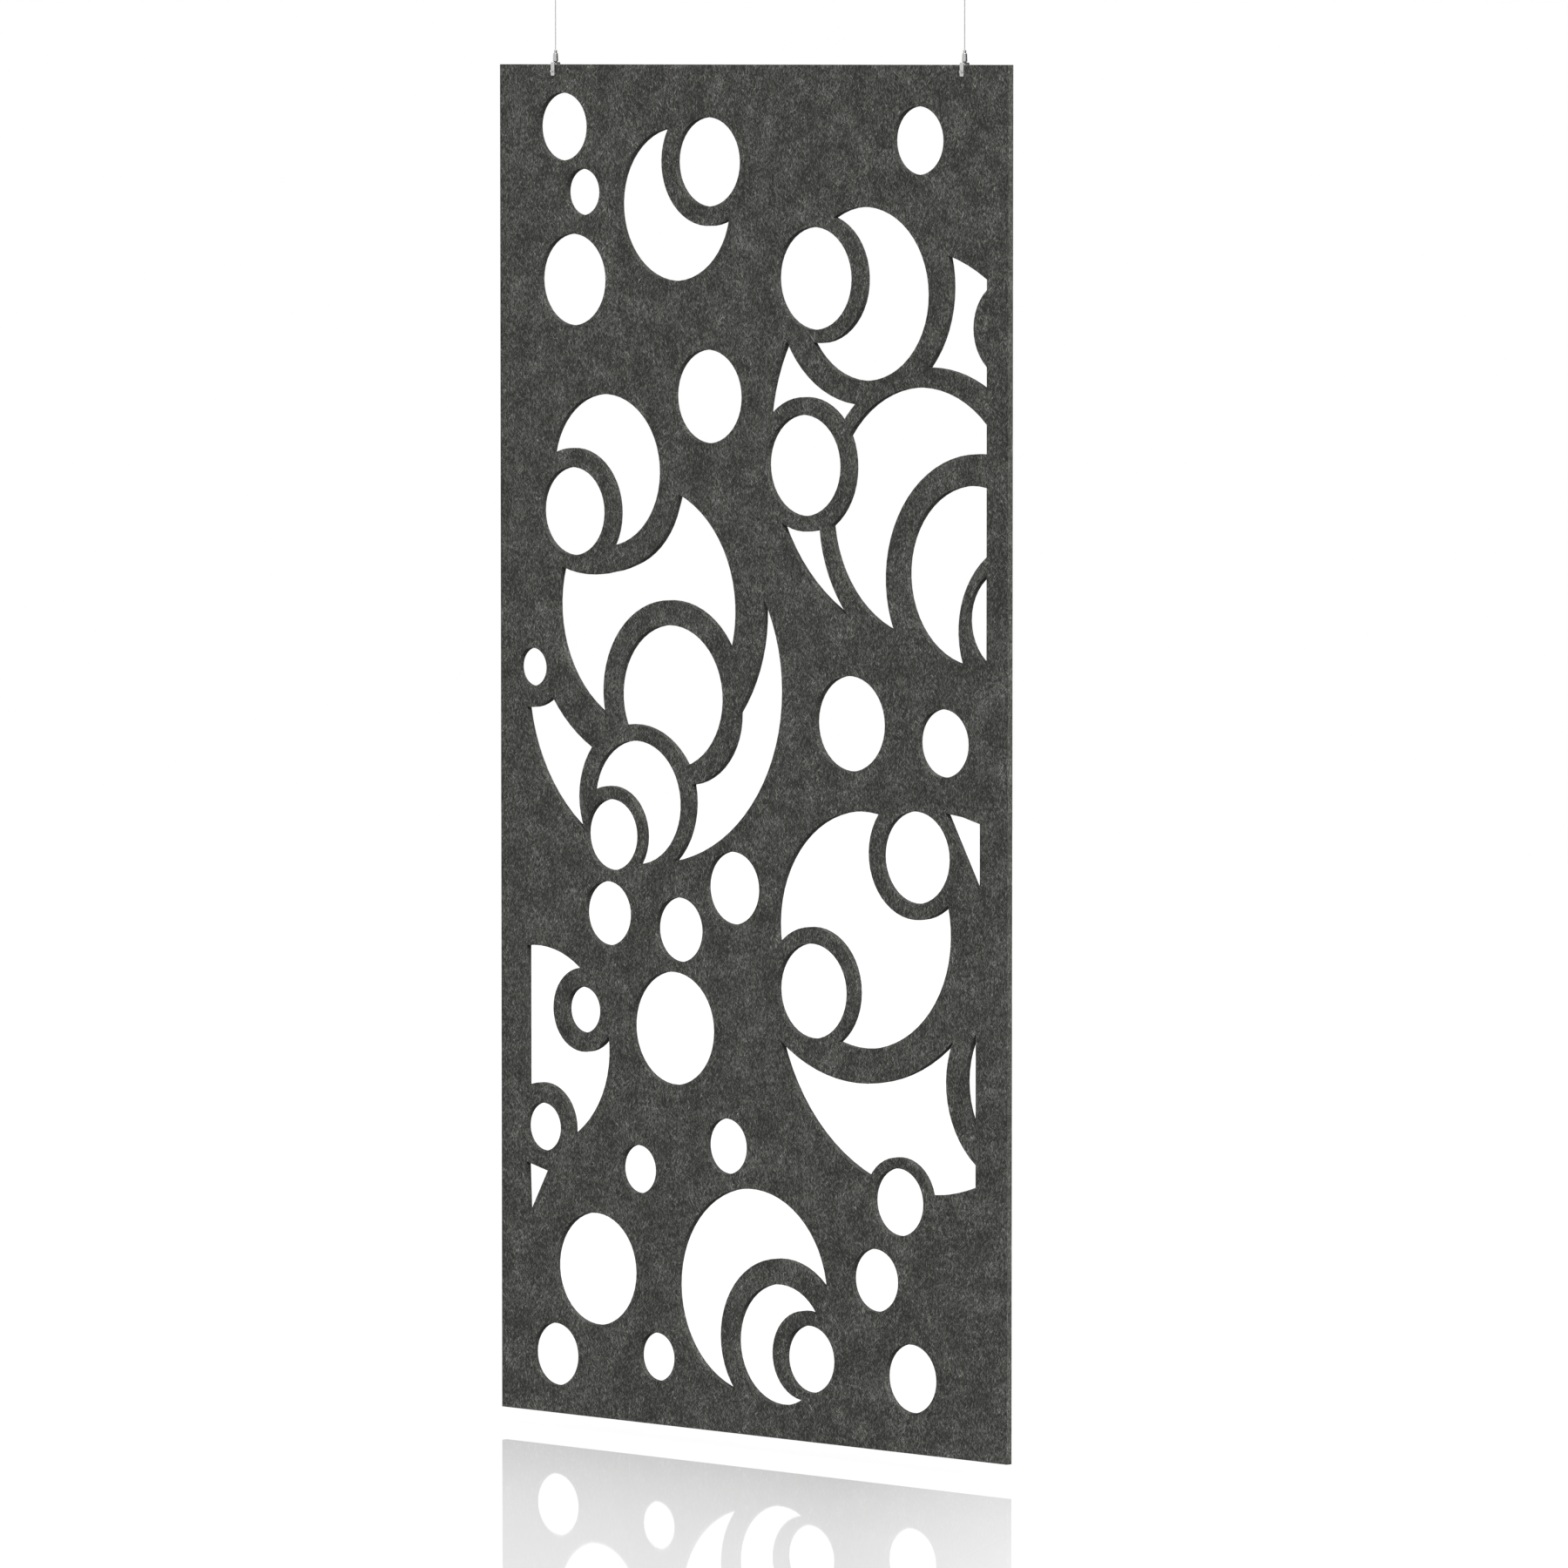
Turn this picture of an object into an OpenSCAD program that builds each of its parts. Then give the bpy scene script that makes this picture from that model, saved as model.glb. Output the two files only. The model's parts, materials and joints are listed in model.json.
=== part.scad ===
// Hanging room divider: one felt board with bubble cut-outs, on two short steel
// cables. X runs along the board, -Y is its front face, +Z is up. The origin lies on
// the ceiling, midway between the two cables. Sizes are in millimetres.

/* [Board] */
// Width of the felt board
panel_w = 1220; // [1100:10:1400]
// Height of the felt board
panel_h = 2400; // [2200:50:2700]
// Thickness of the felt board
panel_t = 12; // [9:1:15]

/* [Cut-out margins] */
// Plain strip that the cut-outs leave along the lower part of the left edge
left_margin = 64; // [56:2:80]
// Plain strip along the upper part of the right edge
right_margin = 50; // [40:2:60]
// Plain strip along the lower part of the right edge
lower_right_margin = 74; // [66:2:80]

/* [Hanging] */
// From the ceiling down to the board's top edge
drop = 150; // [130:5:400]
// From the board's left edge to the left cable
left_inset = 133; // [60:1:200]
// From the board's right edge to the right cable
right_inset = 107; // [60:1:200]
// Diameter of the stranded cable
cable_d = 1.5; // [1.0:0.1:1.6]

/* [Fork] */
// Width of the bent strip that grips the board's top edge
fork_w = 9; // [9:0.5:14]
// Thickness of the strip
fork_t = 1.5; // [1.0:0.1:2.0]
// How far its legs reach down the board's faces
fork_reach = 20; // [18:1:40]
// Air between the board's top edge and the strip's bridge, for the coupling screw's head
fork_lift = 2.5; // [2.4:0.1:4]
// Air between the front leg and the board's front face
fork_play = 0.5; // [0.3:0.1:0.8]
// Bend radius on the strip's outside
fork_bend = 2.5; // [2.2:0.1:3.5]
// Rounding of the legs' lower corners
fork_corner = 1.5; // [0.5:0.5:3]

/* [Clamp screw] */
// From the board's top edge down to the clamp screw
clamp_drop = 12; // [8:0.5:14]
// Thread diameter of the clamp screw
clamp_d = 4; // [3:0.5:5]
// Diameter of its knurled head
knob_d = 5.5; // [5.5:0.5:8]
// Height of its knurled head
knob_h = 3; // [3:0.5:6]
// Air between the head and the front leg when the board is clamped
knob_gap = 1; // [0.5:0.5:3]
// Number of grooves round the head
knob_grooves = 20; // [16:2:26]
// Thickness of the pad on the screw's tip
pad_h = 1; // [0.9:0.1:1.2]
// Diameter of the stem that holds the pad in the screw
pad_stem_d = 1.8; // [1.2:0.1:1.8]
// Length of that stem
pad_stem_h = 1.5; // [1:0.1:1.6]

/* [Coupling screw] */
// Thread diameter of the screw that joins fork and gripper
coupling_d = 5; // [4.6:0.1:5.5]
// Diameter of its flat head under the bridge
coupling_head_d = 8; // [7:0.5:9]
// Thickness of its flat head
coupling_head_h = 1.8; // [1.2:0.1:2.0]
// How far it is screwed into the gripper
coupling_grip = 4; // [3.6:0.1:4.2]
// Height of the spacer ring between bridge and gripper
spacer_h = 1.6; // [1:0.1:3]
// Outside diameter of the spacer ring
spacer_d = 7; // [6.6:0.2:8]

/* [Cable gripper] */
// Diameter of the gripper's housing at its foot
housing_d = 10; // [9:0.5:12]
// Diameter of the housing at its top
housing_top_d = 8.6; // [8:0.2:9]
// Height of the housing
housing_h = 14; // [14:0.5:18]
// Diameter of the release button
button_d = 5.6; // [5:0.1:6]
// How far the button stands above the housing
button_h = 5.6; // [3:0.1:7]
// How far the button can be pressed
press_travel = 1.5; // [0.8:0.1:1.5]
// Diameter of the three grip balls
ball_d = 1.2; // [1.0:0.05:1.25]
// Slope of the cone that wedges the balls on the cable, in degrees
cone_slope = 6; // [4:0.5:7]
// Wire of the spring under the button
spring_wire = 0.4; // [0.3:0.05:0.45]

/* [Ceiling fitting] */
// Diameter of the ceiling fitting
cap_d = 30; // [26:1:40]
// How far the fitting reaches below the ceiling
cap_h = 28; // [27:1:36]
// Thickness of the base's flange
flange_t = 2.5; // [2:0.5:4]
// Diameter of the base's threaded boss
boss_d = 20; // [16:0.5:21]
// Height of the boss
boss_h = 9; // [7:0.5:9]
// Hole for the screw into the ceiling
screw_hole_d = 5; // [4:0.5:6]
// Countersink for that screw's head
screw_head_d = 10; // [9:0.5:12]
// Diameter of the ball crimped on the cable's upper end
cable_ball_d = 6; // [5:0.5:7]

/* [Hidden] */
$fn = 96;

felt = [0.295, 0.297, 0.287];
steel = [0.74, 0.74, 0.73];
nylon = [0.90, 0.90, 0.88];
past = 1;            // a cut runs this far past the face that it opens
eps = 0.01;          // or this far, where it ends in a bevel or a bore
slip = 0.05;         // radial clearance of what turns or slides in a bore
free = 0.1;          // radial clearance of a screw or a cable in a plain hole

// ---- Heights, from the ceiling down ------------------------------------------------
board_top = -drop;
bridge_under = board_top + fork_lift;        // the fork's bridge, above the board
bridge_top = bridge_under + fork_t;
leg_foot = board_top - fork_reach;
housing_foot = bridge_top + spacer_h;
button_top = housing_foot + housing_h + button_h;
button_edge = 0.5;                           // bevel of the button's rim and of its mouth
cable_foot = button_top - button_edge;       // the cable bends here, at the mouth's bottom
cap_floor = 4;                               // metal below the cable's ball
ball_air = 0.15;                             // between the free cable and its ball
ball_z = -cap_h + cap_floor + cable_ball_d / 2;
cable_top = -cap_h + cap_floor - ball_air;

// ---- Places along X ------------------------------------------------------------------
span = panel_w - left_inset - right_inset;   // from one cable to the other
left_x = -span / 2;
right_x = span / 2;
board_x = left_x - left_inset;               // the board's left edge

// ---- Places along Y, in front of and behind the board's middle ------------------------
front_leg = panel_t / 2 + fork_play + fork_t;    // outer face of the front leg
back_leg = panel_t / 2 + fork_t;                 // outer face of the back leg
pad_top = panel_t / 2 + pad_h;                   // where the pad meets the screw
knob_foot = front_leg + knob_gap;

// ---- The bubble pattern ----------------------------------------------------------------
// Drawn on a board of art_w by art_h, from its lower left corner. Each cut-out is
// [bubble, collar, collar, ...]: a disc [x, z, radius], less the discs that the bubbles
// in front of it keep round themselves.
art_w = 1220;
art_h = 2400;
art_step = 1250;     // height at which the right margin changes

top_left_bubbles = [
    [[155, 2290, 60]],
    [[205, 2175, 41]],
    [[180, 2020, 81]],
    [[510, 2230, 78]],
    [[430, 2155, 134], [510, 2230, 112]],
    [[510, 1820, 82]]
];
top_right_bubbles = [
    [[1010, 2270, 59]],
    [[765, 2030, 89]],
    [[885, 2005, 150], [775, 2030, 112]],
    [[740, 1705, 88]],
    [[1020, 1630, 216], [735, 1705, 125], [1155, 1515, 220]],
    [[1140, 1525, 155], [1265, 1430, 160]],
    [[1215, 1450, 89]],
    [[990, 1750, 336], [881, 2019, 206], [1036, 1622, 259], [743, 1707, 117], [1225, 1950, 86]]
];
middle_bubbles = [
    [[180, 1610, 78]],
    [[260, 1685, 134], [180, 1610, 112]],
    [[360, 1445, 217], [225, 1725, 226], [255, 1695, 191], [280, 1670, 159], [420, 1295, 165]],
    [[420, 1290, 126], [330, 1085, 153]],
    [[335, 1100, 109], [270, 1040, 86]],
    [[275, 1040, 63]],
    [[80, 1330, 34]],
    [[375, 1310, 314], [360, 1445, 285], [455, 1265, 129], [335, 1105, 140], [75, 1340, 82]],
    [[850, 1260, 83]],
    [[1070, 1235, 59]],
    [[570, 960, 64]],
    [[440, 880, 57]],
    [[265, 900, 57]],
    [[425, 705, 100]],
    [[555, 505, 49]],
    [[340, 450, 43]]
];
lower_left_bubbles = [
    [[205, 725, 41]],
    [[90, 655, 179], [205, 725, 75], [100, 510, 79]]
];
lower_right_bubbles = [
    [[760, 790, 83]],
    [[1005, 1035, 80]],
    [[882, 903, 206], [1006, 1038, 111], [760, 793, 109]],
    [[1280, 655, 158]],
    [[965, 435, 59]],
    [[1025, 810, 358], [875, 955, 319], [1005, 1035, 200], [1250, 650, 173], [965, 435, 78]],
    [[910, 295, 55]]
];
foot_bubbles = [
    [[105, 510, 43]],
    [[235, 265, 100]],
    [[135, 105, 56]],
    [[385, 120, 43]],
    [[616, 253, 181], [686, 171, 145]],
    [[685, 165, 106], [745, 150, 79]],
    [[755, 145, 59]],
    [[995, 130, 60]]
];
// Two slivers where only the corner of a hidden bubble shows, as [x, z] corners
slivers = [
    [[1075, 1115], [1115, 1110], [1155, 1100], [1155, 975]],
    [[62, 445], [115, 432], [66, 345]]
];

art_x = panel_w / art_w;             // the places spread with the board
art_z = panel_h / art_h;
art_r = min(art_x, art_z);           // and the discs stay round

module disc(d) {
    translate([d[0] * art_x, d[1] * art_z]) circle(r = d[2] * art_r);
}

module cut_outs(bubbles) {
    for (discs = bubbles)
        difference() {
            disc(discs[0]);
            for (i = [1 : 1 : len(discs) - 1]) disc(discs[i]);
        }
}

// The cut-outs that run into a margin end in a straight edge there
module cutting_area() {
    lower_w = panel_w - left_margin - lower_right_margin;
    upper_w = panel_w - left_margin - right_margin;
    step_z = art_step * art_z;
    translate([left_margin, 0]) square([lower_w, panel_h]);
    translate([left_margin, step_z]) square([upper_w, panel_h - step_z]);
}

module panel() {
    color(felt)
        translate([board_x, panel_t / 2, board_top - panel_h])
            rotate([90, 0, 0])
                linear_extrude(panel_t)
                    difference() {
                        square([panel_w, panel_h]);
                        cut_outs(concat(top_left_bubbles, middle_bubbles, foot_bubbles));
                        intersection() {
                            cutting_area();
                            cut_outs(concat(top_right_bubbles, lower_left_bubbles,
                                            lower_right_bubbles));
                        }
                        for (s = slivers)
                            polygon([for (p = s) [p[0] * art_x, p[1] * art_z]]);
                    }
}

// ---- The ceiling fitting -----------------------------------------------------------------
// Each hanger's pieces stand on the Z axis, at their real heights.
boss_end = flange_t + boss_h;
thread_spare = 1.5;                  // the cap's thread runs on below the boss's end
cap_bore_end = boss_end + thread_spare;
ball_passage = 0.3;                  // air round the ball above its seat
crimp_h = 1;                         // the crimped cable's stub above the ball
cap_round = 9;                       // rounding of the cap's lower rim
mouth_slope = 20;                    // the cap's mouth lets the cable swing
mouth_r = 1;                         // its radius at the ball's centre

module ceiling_base() {
    sink_h = (screw_head_d - screw_hole_d) / 2;
    color(steel)
        difference() {
            union() {
                translate([0, 0, -flange_t]) cylinder(d = cap_d, h = flange_t);
                translate([0, 0, -boss_end]) cylinder(d = boss_d, h = boss_end);
            }
            translate([0, 0, -boss_end - past])
                cylinder(d = screw_hole_d, h = boss_end + 2 * past);
            translate([0, 0, -boss_end - eps])
                cylinder(d1 = screw_head_d, d2 = screw_hole_d, h = sink_h);
        }
}

module cap_outline() {
    wall_r = cap_d / 2;
    translate([0, -cap_h + cap_round]) square([wall_r, cap_h - cap_round - flange_t]);
    translate([0, -cap_h]) square([wall_r - cap_round, cap_h - flange_t]);
    translate([wall_r - cap_round, -cap_h + cap_round]) circle(cap_round);
}

module ceiling_cap() {
    ball_r = cable_ball_d / 2;
    mouth_h = ball_z + cap_h;
    color(steel)
        difference() {
            rotate_extrude()
                intersection() {
                    cap_outline();
                    translate([0, -cap_h]) square([cap_d, cap_h]);
                }
            translate([0, 0, -cap_bore_end])
                cylinder(d = boss_d + 2 * slip, h = cap_bore_end);
            translate([0, 0, ball_z])
                cylinder(r = ball_r + ball_passage, h = -cap_bore_end - ball_z + eps);
            translate([0, 0, ball_z]) sphere(r = ball_r + slip);
            translate([0, 0, -cap_h - eps])
                cylinder(r1 = mouth_r + mouth_h * tan(mouth_slope), r2 = mouth_r, h = mouth_h);
        }
}

module cable_ball() {
    color(steel) {
        translate([0, 0, ball_z]) sphere(d = cable_ball_d);
        translate([0, 0, ball_z]) cylinder(d = cable_d, h = cable_ball_d / 2 + crimp_h);
    }
}

// ---- The free cable: taut, from the gripper's mouth up to its ball -----------------------
cable_sides = 8;
cable_rings = 24;
cable_route = [[0, 0, cable_foot], [0, 0, cable_top]];
cable_nose = 0.15;                   // its lower end is bevelled, so that it can tilt
nose_share = 0.6;                    // radius of the bevelled end over the cable's own

function ring(p, r) =
    [for (k = [0 : cable_sides - 1])
        let (a = 360 * k / cable_sides) p + [r * cos(a), r * sin(a), 0]];

// Rings of points joined by triangles, closed by a fan at each end
module tube(rings) {
    n = len(rings[0]);
    last = (len(rings) - 1) * n;
    points = [for (r = rings) each r];
    sides = [for (i = [0 : len(rings) - 2], k = [0 : n - 1])
        let (a = i * n + k, b = i * n + (k + 1) % n)
            each [[a, a + n, b], [b, a + n, b + n]]];
    foot = [for (k = [1 : n - 2]) [0, k, k + 1]];
    top = [for (k = [1 : n - 2]) [last, last + k + 1, last + k]];
    polyhedron(points, concat(sides, foot, top));
}

module cable() {
    cable_r = cable_d / 2;
    foot = cable_route[0];
    start = foot + [0, 0, cable_nose];
    step = (cable_route[1] - start) / (cable_rings - 1);
    color(steel)
        tube(concat([ring(foot, nose_share * cable_r)],
                    [for (i = [0 : cable_rings - 1]) ring(start + i * step, cable_r)]));
}

// ---- The gripper: balls in a cone hold the cable, the button lets it go ------------------
balls = 3;
thread_end = 0.6;                    // the housing's thread runs on past the coupling screw
button_guide = 1.1;                  // the button's head stays this deep in its pocket
button_stop = 0.1;                   // and when pressed, this far above the pocket's floor
neck_ring = 0.4;                     // metal between that floor and the cone
ball_depth = 2.4;                    // from that floor down to the balls' centres
sleeve_tail = 1.3;                   // the button's sleeve reaches this far below the balls
sleeve_skin = 0.15;                  // and this far out past their centres
ball_touch = 0.02;                   // between the balls and the cable that they grip
cable_joint = 0.1;                   // between the free cable and the gripped one
well_air = 0.5;                      // below the gripped cable's end

thread_h = coupling_grip + thread_end;
pocket_h = housing_h - press_travel - button_guide;
neck_h = pocket_h - neck_ring;
balls_h = pocket_h - ball_depth;
sleeve_foot = balls_h - sleeve_tail;
ball_ring = cable_d / 2 + ball_d / 2 + ball_touch;
sleeve_r = ball_ring + sleeve_skin;

// The cone's radius at a height in the housing: the balls touch it where they sit
function cone_r(h) =
    ball_ring + ball_d / 2 / cos(cone_slope) + eps + (balls_h - h) * tan(cone_slope);

module at_balls() {
    for (k = [0 : balls - 1])
        rotate([0, 0, 90 + 360 * k / balls])
            translate([ball_ring, 0, housing_foot + balls_h])
                children();
}

module housing_outline() {
    edge = 0.5;
    foot_r = housing_d / 2;
    top_r = housing_top_d / 2;
    polygon([[0, 0], [foot_r - edge, 0], [foot_r, edge], [top_r, housing_h - edge],
             [top_r - edge, housing_h], [0, housing_h]]);
}

module gripper_housing() {
    color(steel)
        translate([0, 0, housing_foot])
            difference() {
                rotate_extrude() housing_outline();
                translate([0, 0, -eps]) cylinder(d = coupling_d, h = thread_h + eps);
                translate([0, 0, thread_h - eps])
                    cylinder(r1 = cone_r(thread_h), r2 = cone_r(neck_h), h = neck_h - thread_h);
                translate([0, 0, thread_h])
                    cylinder(r = sleeve_r + slip, h = housing_h);
                translate([0, 0, pocket_h])
                    cylinder(r = button_d / 2 + slip, h = housing_h);
            }
}

module release_button() {
    shoulder_h = pocket_h + press_travel + button_stop;
    head_h = housing_h + button_h;
    bore_r = cable_d / 2 + free;
    color(steel)
        difference() {
            translate([0, 0, housing_foot]) {
                translate([0, 0, sleeve_foot]) cylinder(r = sleeve_r, h = shoulder_h - sleeve_foot);
                translate([0, 0, shoulder_h - eps])
                    cylinder(d = button_d, h = head_h - button_edge - shoulder_h + eps);
                translate([0, 0, head_h - button_edge])
                    cylinder(d1 = button_d, d2 = button_d - 2 * button_edge, h = button_edge);
            }
            translate([0, 0, housing_foot]) cylinder(r = bore_r, h = head_h + past);
            translate([0, 0, cable_foot])
                cylinder(r1 = bore_r, r2 = bore_r + button_edge, h = button_edge + eps);
            at_balls()
                rotate([0, 90, 0])
                    translate([0, 0, -ball_ring]) cylinder(d = ball_d + slip, h = 2 * sleeve_r);
        }
}

module grip_balls() {
    color(steel) at_balls() sphere(d = ball_d, $fn = 32);
}

// An open coil between the coupling screw's end and the sleeve's foot
coil_turns = 3.5;
coil_steps = 16;     // rings of points in one turn
coil_sides = 6;
coil_air = 0.3;      // between the coil and the cable inside it

function coil_ring(angle, z, r) =
    [for (k = [0 : coil_sides - 1])
        let (a = 360 * k / coil_sides, out = r + spring_wire / 2 * cos(a))
            [out * cos(angle), out * sin(angle), z + spring_wire / 2 * sin(a)]];

module button_spring() {
    coil_r = cable_d / 2 + coil_air + spring_wire / 2;
    low = housing_foot + coupling_grip + spring_wire / 2;
    high = housing_foot + sleeve_foot - spring_wire / 2;
    count = coil_turns * coil_steps;
    color(steel)
        tube([for (i = [0 : count])
            coil_ring(360 * i / coil_steps, low + (high - low) * i / count, coil_r)]);
}

// The cable's lower end runs through button, balls and spring into the coupling screw
module gripped_cable() {
    foot = housing_foot + coupling_grip - cable_well + well_air;
    color(steel)
        translate([0, 0, foot]) cylinder(d = cable_d, h = cable_foot - cable_joint - foot);
}

// ---- The joint between gripper and fork ----------------------------------------------------
cable_well = 3;                      // depth of the well for the cable's end
socket_w = 3;                        // hexagon socket in the coupling screw's head
socket_h = 1;

module spacer_ring() {
    color(steel)
        translate([0, 0, bridge_top])
            difference() {
                cylinder(d = spacer_d, h = spacer_h);
                translate([0, 0, -past])
                    cylinder(d = coupling_d + 2 * free, h = spacer_h + 2 * past);
            }
}

module coupling_screw() {
    head_foot = bridge_under - coupling_head_h;
    tip = housing_foot + coupling_grip;
    color(steel)
        difference() {
            union() {
                translate([0, 0, head_foot]) cylinder(d = coupling_head_d, h = coupling_head_h);
                translate([0, 0, head_foot]) cylinder(d = coupling_d, h = tip - head_foot);
            }
            translate([0, 0, tip - cable_well])
                cylinder(d = cable_d + 4 * free, h = cable_well + eps);
            translate([0, 0, head_foot - eps]) cylinder(d = socket_w, h = socket_h, $fn = 6);
        }
}

// ---- The fork and its clamp screw ------------------------------------------------------------
// A door-shaped outline: square feet and rounded upper corners
module arch(y0, y1, z0, z1, r) {
    translate([y0, z0]) square([y1 - y0, z1 - z0 - r]);
    translate([y0 + r, z0]) square([y1 - y0 - 2 * r, z1 - z0]);
    for (y = [y0 + r, y1 - r]) translate([y, z1 - r]) circle(r);
}

module fork_side() {
    difference() {
        arch(-front_leg, back_leg, leg_foot, bridge_top, fork_bend);
        arch(-front_leg + fork_t, back_leg - fork_t, leg_foot - past, bridge_under,
             fork_bend - fork_t);
    }
}

// The strip seen from the front, with the legs' lower corners rounded
module fork_front() {
    half = fork_w / 2;
    translate([-half, leg_foot + fork_corner])
        square([fork_w, bridge_top + past - leg_foot - fork_corner]);
    translate([-half + fork_corner, leg_foot])
        square([fork_w - 2 * fork_corner, fork_corner + past]);
    for (side = [-1, 1])
        translate([side * (half - fork_corner), leg_foot + fork_corner]) circle(fork_corner);
}

// ---- The clamp screw and its pad
pad_rim = 0.4;                       // the pad is this much smaller than the thread all round
stem_air = 0.3;                      // past the stem's end, inside the screw
groove_r = 0.3;                      // grooves round the knurled head
slot_w = 0.8;                        // slot for a coin or a screwdriver
slot_h = 0.9;

// What stands on the clamp screw's axis points out of the board's front
module on_clamp_axis() {
    translate([0, 0, board_top - clamp_drop]) rotate([90, 0, 0]) children();
}

module fork() {
    depth = front_leg + back_leg;
    color(steel)
        difference() {
            intersection() {
                rotate([90, 0, 90])
                    translate([0, 0, -fork_w / 2]) linear_extrude(fork_w) fork_side();
                translate([0, back_leg + past, 0])
                    rotate([90, 0, 0]) linear_extrude(depth + 2 * past) fork_front();
            }
            translate([0, 0, bridge_under - past])
                cylinder(d = coupling_d + 2 * free, h = fork_t + 2 * past);
            on_clamp_axis()
                translate([0, 0, front_leg - fork_t - past])
                    cylinder(d = clamp_d + 2 * slip, h = fork_t + 2 * past);
        }
}

module clamp_pad() {
    color(nylon)
        on_clamp_axis() {
            translate([0, 0, panel_t / 2]) cylinder(d = clamp_d - 2 * pad_rim, h = pad_h);
            translate([0, 0, panel_t / 2]) cylinder(d = pad_stem_d, h = pad_h + pad_stem_h);
        }
}

module knob() {
    difference() {
        cylinder(d = knob_d, h = knob_h);
        for (k = [0 : knob_grooves - 1])
            rotate([0, 0, 360 * k / knob_grooves])
                translate([knob_d / 2, 0, -past])
                    cylinder(r = groove_r, h = knob_h + 2 * past, $fn = 24);
        translate([-knob_d, -slot_w / 2, knob_h - slot_h])
            cube([2 * knob_d, slot_w, slot_h + past]);
    }
}

module clamp_screw() {
    color(steel)
        on_clamp_axis()
            difference() {
                union() {
                    translate([0, 0, pad_top]) cylinder(d = clamp_d, h = knob_foot - pad_top + eps);
                    translate([0, 0, knob_foot]) knob();
                }
                translate([0, 0, pad_top - eps])
                    cylinder(d = pad_stem_d + 2 * slip, h = pad_stem_h + stem_air);
            }
}

// ---- What is drawn ---------------------------------------------------------------------------
module at(x) {
    translate([x, 0, 0]) children();
}

panel();

at(left_x) ceiling_base();  // left_ceiling_base
at(left_x) ceiling_cap();  // left_ceiling_cap
at(left_x) cable_ball();  // left_cable_ball
at(left_x) cable();  // left_cable
at(left_x) release_button();  // left_release_button
at(left_x) grip_balls();  // left_grip_balls
at(left_x) button_spring();  // left_button_spring
at(left_x) gripper_housing();  // left_gripper_housing
at(left_x) gripped_cable();  // left_gripped_cable
at(left_x) spacer_ring();  // left_spacer_ring
at(left_x) coupling_screw();  // left_coupling_screw
at(left_x) fork();  // left_fork
at(left_x) clamp_screw();  // left_clamp_screw
at(left_x) clamp_pad();  // left_clamp_pad

at(right_x) ceiling_base();  // right_ceiling_base
at(right_x) ceiling_cap();  // right_ceiling_cap
at(right_x) cable_ball();  // right_cable_ball
at(right_x) cable();  // right_cable
at(right_x) release_button();  // right_release_button
at(right_x) grip_balls();  // right_grip_balls
at(right_x) button_spring();  // right_button_spring
at(right_x) gripper_housing();  // right_gripper_housing
at(right_x) gripped_cable();  // right_gripped_cable
at(right_x) spacer_ring();  // right_spacer_ring
at(right_x) coupling_screw();  // right_coupling_screw
at(right_x) fork();  // right_fork
at(right_x) clamp_screw();  // right_clamp_screw
at(right_x) clamp_pad();  // right_clamp_pad
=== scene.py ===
import json
import math
import bpy
import bmesh
import numpy as np
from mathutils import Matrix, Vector


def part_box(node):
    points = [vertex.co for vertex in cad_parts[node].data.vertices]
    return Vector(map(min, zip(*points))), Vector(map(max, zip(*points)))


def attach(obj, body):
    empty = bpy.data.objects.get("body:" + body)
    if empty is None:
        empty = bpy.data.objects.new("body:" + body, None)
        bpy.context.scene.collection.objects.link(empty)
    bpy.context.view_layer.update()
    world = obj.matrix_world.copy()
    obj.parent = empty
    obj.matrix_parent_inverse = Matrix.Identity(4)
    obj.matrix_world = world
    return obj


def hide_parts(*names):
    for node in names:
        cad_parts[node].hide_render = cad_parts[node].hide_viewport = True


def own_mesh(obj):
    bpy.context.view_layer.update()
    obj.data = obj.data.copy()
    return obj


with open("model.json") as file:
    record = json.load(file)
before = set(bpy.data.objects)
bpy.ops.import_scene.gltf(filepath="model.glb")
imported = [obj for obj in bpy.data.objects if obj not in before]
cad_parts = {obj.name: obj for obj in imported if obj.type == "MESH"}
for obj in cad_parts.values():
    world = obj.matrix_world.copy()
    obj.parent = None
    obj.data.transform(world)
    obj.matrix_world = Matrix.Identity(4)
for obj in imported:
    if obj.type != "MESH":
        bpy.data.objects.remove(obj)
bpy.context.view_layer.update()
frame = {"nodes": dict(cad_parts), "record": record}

mm = 0.001
weld = 0.0005         # points nearer to each other than this become one
flatShare = 0.2       # share of a rounding by which a point on the flat stands off its arc
sides = ["left", "right"]
record = frame["record"]

# The camera stands at the board's right, a little above its top, and sees it through a long lens.
view = {
    "position": (13509.3, -14274.3, -121.2),
    "yaw": 43.284,        # degrees to the left of straight ahead
    "pitch": 3.737,       # degrees below the horizon
    "lens": 258.73,
    "sensor": 36.0,
}
cameraData = bpy.data.cameras.new("camera")
cameraData.lens = view["lens"]
cameraData.sensor_width = view["sensor"]
camera = bpy.data.objects.new("camera", cameraData)
camera.location = [v * mm for v in view["position"]]
camera.rotation_euler = (math.radians(90 - view["pitch"]), 0, math.radians(view["yaw"]))
bpy.context.scene.collection.objects.link(camera)
bpy.context.scene.camera = camera
bpy.context.scene.view_settings.view_transform = "Standard"
print("camera set")


def makeMesh(name, points, faces, uv=None):
    # Points are in millimetres; uv is one pair for each corner of each face.
    mesh = bpy.data.meshes.new(name)
    mesh.from_pydata((np.asarray(points) * mm).tolist(), [], faces.tolist())
    if uv is not None:
        mesh.uv_layers.new(name="surface").data.foreach_set("uv", uv.reshape(-1))
    piece = bpy.data.objects.new(name, mesh)
    bpy.context.scene.collection.objects.link(piece)
    return piece


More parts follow.
